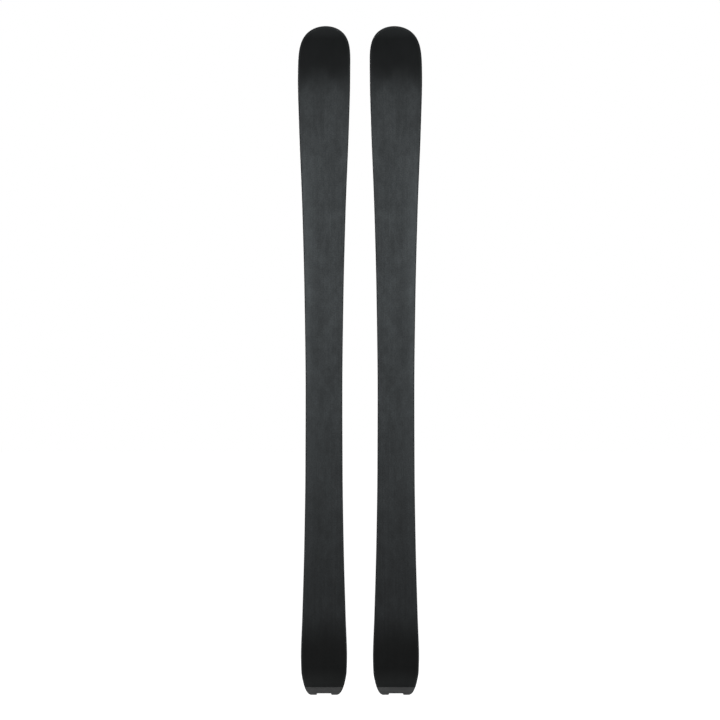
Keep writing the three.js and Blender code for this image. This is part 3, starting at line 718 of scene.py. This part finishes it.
def black_anodised():
    """Black anodised aluminium with a fine grain."""
    m = Finish("black_anodised", Metallic=0.55)
    grain = m.noise((1500, 1500, 1500), 2)
    cloud = m.noise((80, 80, 80), 3)
    tone = m.shade((0.024, 0.0242, 0.025), m.remap(cloud, 0.3, 0.7, 0.85, 1.2))
    m.bump(grain, 0.02, 0.35)
    return m.set(Base_Color=tone, Roughness=m.remap(grain, 0.3, 0.7, 0.36, 0.48))


def blasted_alloy():
    """Bead-blasted aluminium with slightly polished high spots."""
    m = Finish("blasted_alloy", Metallic=1.0)
    grain = m.noise((2600, 2600, 2600), 2)
    cloud = m.noise((60, 60, 60), 4)
    tone = m.shade((0.36, 0.367, 0.378), m.remap(cloud, 0.3, 0.7, 0.88, 1.08))
    m.bump(grain, 0.02, 0.5)
    return m.set(Base_Color=tone, Roughness=m.remap(cloud, 0.3, 0.7, 0.42, 0.54))


def turned_steel(name, tone, rough):
    """Bright steel, as of pins, axles, springs and screws."""
    m = Finish(name, Metallic=1.0)
    rings = m.noise((1300, 1300, 1300), 3)
    cloud = m.noise((120, 120, 120), 2)
    m.bump(rings, 0.008, 0.4)
    return m.set(
        Base_Color=m.shade(tone, m.remap(cloud, 0.3, 0.7, 0.88, 1.1)),
        Roughness=m.remap(rings, 0.3, 0.7, rough - 0.05, rough + 0.07),
    )


def moulded_nylon():
    """Glass-filled nylon: black, faintly speckled, with the fine grain of its mould."""
    m = Finish("moulded_nylon")
    grain = m.noise((1100, 1100, 1100), 3, 0.6)
    speck = m.noise((2400, 2400, 600), 1)
    tone = m.mix(m.remap(speck, 0.58, 0.7), (0.0125, 0.0125, 0.013), (0.021, 0.021, 0.0215))
    m.bump(grain, 0.05, 0.45)
    return m.set(Base_Color=tone, Roughness=m.remap(grain, 0.3, 0.7, 0.42, 0.56))


SOLE = running_base()
EDGE = edge_steel()
LAMINATE = glass_laminate()
WOOD = wood_core()
SIDEWALL = sidewall_plastic()
TOP_SKIN = top_skin()
PROTECTOR = protector_alloy()
PLATE = black_anodised()
ALLOY = blasted_alloy()
STEEL = turned_steel("hardened_steel", (0.38, 0.385, 0.395), 0.3)
ZINC = turned_steel("zinc_steel", (0.34, 0.34, 0.335), 0.36)
NYLON = moulded_nylon()

# ---------------------------------------------------------------- the skis


def below_top(distance):
    """A depth that follows the ski's top."""
    return lambda z: thickness(z) - distance


def fixed(depth):
    """A depth that is the same all along the ski."""
    return lambda z: depth


def make_sandwich(hand, side):
    """The layers of one ski that can be seen, in the CAD's places with true curves and rims."""
    body = f"{hand}_ski"

    def layer(piece, node, profile, material, ring=False):
        made = ski_layer(f"{hand}_{piece}", side, profile, material, body, ring)
        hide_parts(f"{hand}_{node}")

    layer("running_base", "sole", [
        (9, fixed(0)), (2.42, fixed(0)), (2.3, fixed(0.12)), (2.3, fixed(BASE_THICK)),
    ], SOLE)
    layer("edge_rail", "steel_edge", [
        (EDGE_WIDTH - 0.06, fixed(0)), (0.3, fixed(0)), (0.08, fixed(0.1)), (0, fixed(0.35)),
        (0, fixed(EDGE_HEIGHT - 0.2)), (0.2, fixed(EDGE_HEIGHT)), (EDGE_REACH, fixed(EDGE_HEIGHT)),
        (EDGE_REACH, fixed(BASE_THICK + 0.1)), (EDGE_WIDTH, fixed(BASE_THICK + 0.1)),
        (EDGE_WIDTH, fixed(0.06)),
    ], EDGE, ring=True)
    layer("lower_glass", "lower_laminate", [
        (0.3, fixed(LOWER_GLASS_FROM)), (0.3, fixed(LOWER_GLASS_TO)),
    ], LAMINATE)
    layer("sidewalls", "sidewall", [
        (0.45, fixed(SIDEWALL_FROM)), (0.3, fixed(2.95)), (2.2, below_top(1.85)),
        (TOP_INSET, below_top(SIDEWALL_BELOW_TOP)),
        (SIDEWALL_INNER_INSET, below_top(SIDEWALL_BELOW_TOP)),
        (SIDEWALL_INNER_INSET, fixed(SIDEWALL_FROM)),
    ], SIDEWALL, ring=True)
    layer("upper_glass", "upper_laminate", [
        (TOP_INSET, below_top(UPPER_GLASS_FROM_BELOW_TOP)),
        (TOP_INSET, below_top(UPPER_GLASS_TO_BELOW_TOP)),
    ], LAMINATE)
    layer("top_skin", "top_sheet", [
        (TOP_INSET, below_top(TOP_SHEET_BELOW_TOP)), (TOP_INSET, below_top(0.3)),
        (2.6, below_top(0.1)), (2.85, below_top(0)), (5, below_top(0)), (10, below_top(0)),
        (18, below_top(0)),
    ], TOP_SKIN)


def arc(centre, radius, start, end, steps):
    """Points of an arc in degrees."""
    for i in range(steps + 1):
        angle = math.radians(start + (end - start) * i / steps)
        yield (centre[0] + radius * math.cos(angle), centre[1] + radius * math.sin(angle))


def make_protector(hand, side):
    """The alloy cap at the tail: rounded corners, and a notch with eased corners."""
    steps = 18
    heights = [PROTECTOR_LENGTH * (i / steps) ** 2 for i in range(steps, -1, -1)]
    right = [(along(OUTLINE, z), z) for z in heights]
    flare = (NOTCH_MOUTH - NOTCH_FLOOR) / 2
    mouth = (NOTCH_MOUTH / 2 + 0.5, NOTCH_CORNER)
    floor = (NOTCH_FLOOR / 2 + flare * 0.2 - NOTCH_CORNER, NOTCH_DEPTH - NOTCH_CORNER)
    right += list(arc(mouth, NOTCH_CORNER, -90, -157, 3))
    right += list(arc(floor, NOTCH_CORNER, 23, 90, 3))
    outline = right + [(-x, z) for x, z in reversed(right)]
    count = len(outline)
    depths = (lambda z: 0, thickness)
    vertices = [bent(side, x, z, depth(z)) for depth in depths for x, z in outline]
    faces = [(i, (i + 1) % count, count + (i + 1) % count, count + i) for i in range(count)]
    faces += [tuple(range(count)), tuple(range(count, 2 * count))]
    cap = add_mesh(f"{hand}_tail_cap", vertices, faces, PROTECTOR, f"{hand}_ski", sharp=40)
    cap.modifiers.clear()  # the normals are weighed again after the bevel
    bevel = cap.modifiers.new("edges", "BEVEL")
    bevel.width = PROTECTOR_BEVEL * MM
    bevel.segments = 3
    bevel.angle_limit = math.radians(50)
    weigh_normals(cap)
    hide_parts(f"{hand}_tail_protector")
    top = thickness(RIVET_Z)
    for i, x in enumerate(RIVET_SIDES):
        foot = bent(side, x, RIVET_Z, top) / MM
        out = (bent(side, x, RIVET_Z, top + 1) / MM - foot).normalized()
        rivet = turned(
            f"{hand}_tail_rivet_{i + 1}",
            [(0, -1), (2.6, -1), (2.6, 0.05), (2.4, 0.45), (1.7, 0.8), (0.8, 0.95), (0, 1)],
            foot, out, STEEL, f"{hand}_ski",
        )


# ---------------------------------------------------------------- bindings


def make_screws(hand, place, spots, foot, plate_thick):
    """Countersunk screws with a hexagon socket, just under the face of their plate."""
    top = plate_thick - SCREW_SUNK
    profile = [
        (0, -8.2), (1.4, -7.5), (2.4, -6.7), (2.4, top - 2.6), (4.5, top - 0.5), (4.6, top - 0.35),
        (4.6, top - 0.15), (4.45, top), (2.45, top), (2.25, top - 0.15), (2.2, top - 1.5),
        (1.2, top - 1.9), (0, top - 2.1),
    ]
    for i, (x, z) in enumerate(spots):
        screw = turned(
            f"{hand}_{place}_screw_head_{i + 1}", profile, foot + Vector((x, 0, z)), (0, 1, 0),
            ZINC, f"{hand}_ski", six_sided=(8, 9, 10),
        )
        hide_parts(f"{hand}_{place}_screw_{i + 1}")


def make_jaw_steel(hand, place, sign, foot):
    """The conical toe pin of one jaw, and the axle that the jaw swings on."""
    pin = turned(
        f"{hand}_toe_pin_{place}_tip",
        [(0, 42), (3, 42), (3.2, 41.7), (3.2, 32.9), (3.1, 32.6), (2.3, 30.3), (1.9, 29.4),
         (1.2, 29), (0, 29)],
        foot + Vector((0, PIN_OUT, 0)), (sign, 0, 0), STEEL, f"{hand}_{place}_jaw",
    )
    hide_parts(f"{hand}_toe_pin_{place}")
    axle = turned(
        f"{hand}_toe_axle_{place}_rod",
        [(0, -24.6), (1.7, -24.6), (2.1, -24.2), (2.1, 24.2), (1.7, 24.6), (0.9, 24.6),
         (0, 24.1)],
        foot + Vector((sign * JAW_AXLE_SIDE, JAW_AXLE_OUT, 0)), (0, 0, 1), STEEL, f"{hand}_ski",
    )
    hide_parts(f"{hand}_toe_axle_{place}")


def make_lever_axle(hand, foot):
    axle = turned(
        f"{hand}_lever_axle",
        [(0, -11.4), (2.2, -11.4), (2.6, -11), (2.6, -10.6), (1.85, -10.55), (1.85, 10.55),
         (2.6, 10.6), (2.6, 11), (2.2, 11.4), (0, 11.4)],
        foot + Vector((0, LEVER_AXLE_OUT, LEVER_AXLE_UP)), (1, 0, 0), STEEL, f"{hand}_ski",
        segments=32,
    )


def make_toe_spring(hand, foot):
    steps = SPRING_TURNS * STEPS_A_TURN
    coil = []
    for i in range(steps + 1):
        angle = 2 * math.pi * i / STEPS_A_TURN
        across = -SPRING_REACH + 2 * SPRING_REACH * i / steps
        place = foot + Vector((across, SPRING_OUT, SPRING_UP))
        coil.append(place + Vector((0, math.cos(angle), math.sin(angle))) * SPRING_RADIUS)
    spring = swept(f"{hand}_toe_spring", coil, SPRING_WIRE, STEEL, f"{hand}_ski", sides=10)


def make_toe(hand, side, foot):
    for node in ("toe_jaw_outer", "toe_jaw_inner"):
        soften(f"{hand}_{node}", ALLOY, 0.9)
    soften(f"{hand}_toe_base", PLATE, 0.5)
    soften(f"{hand}_toe_lever", NYLON, 0.9)
    make_screws(hand, "toe", TOE_SCREWS, foot, TOE_PLATE)
    for place, sign in (("outer", side), ("inner", -side)):
        make_jaw_steel(hand, place, sign, foot)
    make_lever_axle(hand, foot)
    make_toe_spring(hand, foot)


def make_spindle(hand, foot):
    spindle = turned(
        f"{hand}_heel_spindle_post",
        [(0, 0.1), (8.6, 0.1), (9, 0.5), (9, 21), (8.2, 21.4), (8.2, 23), (9, 23.4), (9, 25.5),
         (8.4, 26), (0, 26)],
        foot, (0, 1, 0), STEEL, f"{hand}_ski",
    )
    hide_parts(f"{hand}_heel_spindle")


def make_fork(hand, foot):
    """One bar bent to a U. Its two prongs hold the heel of the boot."""
    path = [(-FORK_HALF, FORK_TOP), (-FORK_HALF, 20), (-FORK_HALF, 0)]
    path += list(arc((FORK_CORNER - FORK_HALF, FORK_CORNER_UP), FORK_CORNER, 180, 270, 8))
    path += [(-x, z) for x, z in reversed(path)]
    fork = swept(
        f"{hand}_heel_fork_bar",
        [foot + Vector((x, PIN_OUT, z)) for x, z in path],
        FORK_BAR, STEEL, f"{hand}_heel", sides=28,
    )
    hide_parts(f"{hand}_heel_fork")


def make_riser_axle(hand, foot):
    axle = turned(
        f"{hand}_riser_axle",
        [(0, -18.3), (1.9, -18.3), (2.3, -17.9), (2.3, -17.6), (1.55, -17.55), (1.55, 17.55),
         (2.3, 17.6), (2.3, 17.9), (1.9, 18.3), (0, 18.3)],
        foot + Vector((0, RISER_AXLE_OUT, RISER_AXLE_UP)), (1, 0, 0), STEEL, f"{hand}_heel",
        segments=32,
    )


def make_heel(hand, foot):
    soften(f"{hand}_heel_base", PLATE, 0.5)
    soften(f"{hand}_heel_turret", NYLON, 1.2, segments=4)
    soften(f"{hand}_heel_riser", ALLOY, 0.6)
    soften(f"{hand}_heel_adjuster", ALLOY, 0.4)
    make_screws(hand, "heel", HEEL_SCREWS, foot, HEEL_PLATE)
    make_spindle(hand, foot)
    make_fork(hand, foot)
    make_riser_axle(hand, foot)


for hand, side in HANDS.items():
    make_sandwich(hand, side)
    make_protector(hand, side)
    NODES[f"{hand}_core"].data.materials.clear()
    NODES[f"{hand}_core"].data.materials.append(WOOD)
    middle = side * SKI_SPACING / 2
    make_toe(hand, side, Vector((middle, TOP_Y, TOE_Z)))
    make_heel(hand, Vector((middle, TOP_Y, HEEL_Z)))

# ---------------------------------------------------------------- studio


def make_floor():
    """A floor that the camera sees as seamless white, and that lights the skis as grey paint would."""
    bpy.ops.mesh.primitive_plane_add(size=FLOOR_SIZE, location=(0, 0, -FLOOR_DROP))
    floor = bpy.context.object
    floor.name = "studio_floor"
    paint = bpy.data.materials.new("studio_white")
    paint.use_nodes = True
    tree = paint.node_tree
    tree.nodes.clear()
    diffuse = tree.nodes.new("ShaderNodeBsdfDiffuse")
    diffuse.inputs["Color"].default_value = (FLOOR_GREY, FLOOR_GREY, FLOOR_GREY, 1)
    glow = tree.nodes.new("ShaderNodeEmission")
    glow.inputs["Strength"].default_value = 1.0
    both = tree.nodes.new("ShaderNodeAddShader")
    seen = tree.nodes.new("ShaderNodeLightPath")
    choose = tree.nodes.new("ShaderNodeMixShader")
    out = tree.nodes.new("ShaderNodeOutputMaterial")
    tree.links.new(diffuse.outputs[0], both.inputs[0])
    tree.links.new(glow.outputs[0], both.inputs[1])
    tree.links.new(seen.outputs["Is Camera Ray"], choose.inputs[0])
    tree.links.new(diffuse.outputs[0], choose.inputs[1])
    tree.links.new(both.outputs[0], choose.inputs[2])
    tree.links.new(choose.outputs[0], out.inputs["Surface"])
    floor.data.materials.append(paint)


def make_world():
    """White behind everything. What the surfaces reflect is a dim room in front of the skis and a
    lighter one behind them, both darker overhead."""
    world = bpy.data.worlds.new("studio")
    bpy.context.scene.world = world
    world.use_nodes = True
    tree = world.node_tree
    tree.nodes.clear()

    def make(kind, **inputs):
        node = tree.nodes.new(kind)
        for name, value in inputs.items():
            socket = node.inputs[name.replace("_", " ")]
            if isinstance(value, bpy.types.NodeSocket):
                tree.links.new(value, socket)
            else:
                socket.default_value = value
        return node

    place = make("ShaderNodeTexCoord").outputs["Generated"]
    towards = make("ShaderNodeSeparateXYZ", Vector=place).outputs
    depth = make(
        "ShaderNodeMapRange", Value=towards["Y"], From_Min=-0.4, From_Max=0.7, To_Min=ROOM_FRONT,
        To_Max=ROOM_BACK,
    ).outputs[0]
    overhead = make(
        "ShaderNodeMapRange", Value=towards["Z"], From_Min=0.1, From_Max=0.95, To_Min=1.0,
        To_Max=ROOM_OVERHEAD,
    ).outputs[0]
    level = make("ShaderNodeMath")
    level.operation = "MULTIPLY"
    tree.links.new(depth, level.inputs[0])
    tree.links.new(overhead, level.inputs[1])
    room = make("ShaderNodeBackground", Color=(0.96, 0.98, 1, 1), Strength=level.outputs[0])
    white = make("ShaderNodeBackground", Color=(1, 1, 1, 1))
    seen = make("ShaderNodeLightPath")
    choose = make("ShaderNodeMixShader")
    tree.links.new(seen.outputs["Is Camera Ray"], choose.inputs[0])
    tree.links.new(room.outputs[0], choose.inputs[1])
    tree.links.new(white.outputs[0], choose.inputs[2])
    tree.links.new(choose.outputs[0], make("ShaderNodeOutputWorld").inputs["Surface"])


def add_softbox(name, place, aim, width, height, watts):
    light = bpy.data.lights.new(name, "AREA")
    light.shape = "RECTANGLE"
    light.size, light.size_y = width, height
    light.energy = watts
    lamp = bpy.data.objects.new(name, light)
    bpy.context.scene.collection.objects.link(lamp)
    lamp.location = place
    lamp.rotation_euler = (Vector(aim) - Vector(place)).to_track_quat("-Z", "Y").to_euler()
    lamp.visible_camera = False


def make_camera():
    """Level with the middle of the picture, square to the bases, far off through a long lens."""
    lens = bpy.data.cameras.new("camera")
    lens.lens = LENS
    lens.sensor_width = SENSOR
    distance = PICTURE_WIDTH * LENS / SENSOR
    camera = bpy.data.objects.new("camera", lens)
    bpy.context.scene.collection.objects.link(camera)
    camera.location = (0, BASE_Y * MM - distance, EYE_HEIGHT)
    camera.rotation_euler = (math.radians(90), 0, 0)
    lens.clip_end = 200
    bpy.context.scene.camera = camera


make_camera()
make_floor()
make_world()
for box in SOFTBOXES:
    add_softbox(*box)
bpy.context.scene.view_settings.view_transform = "Standard"
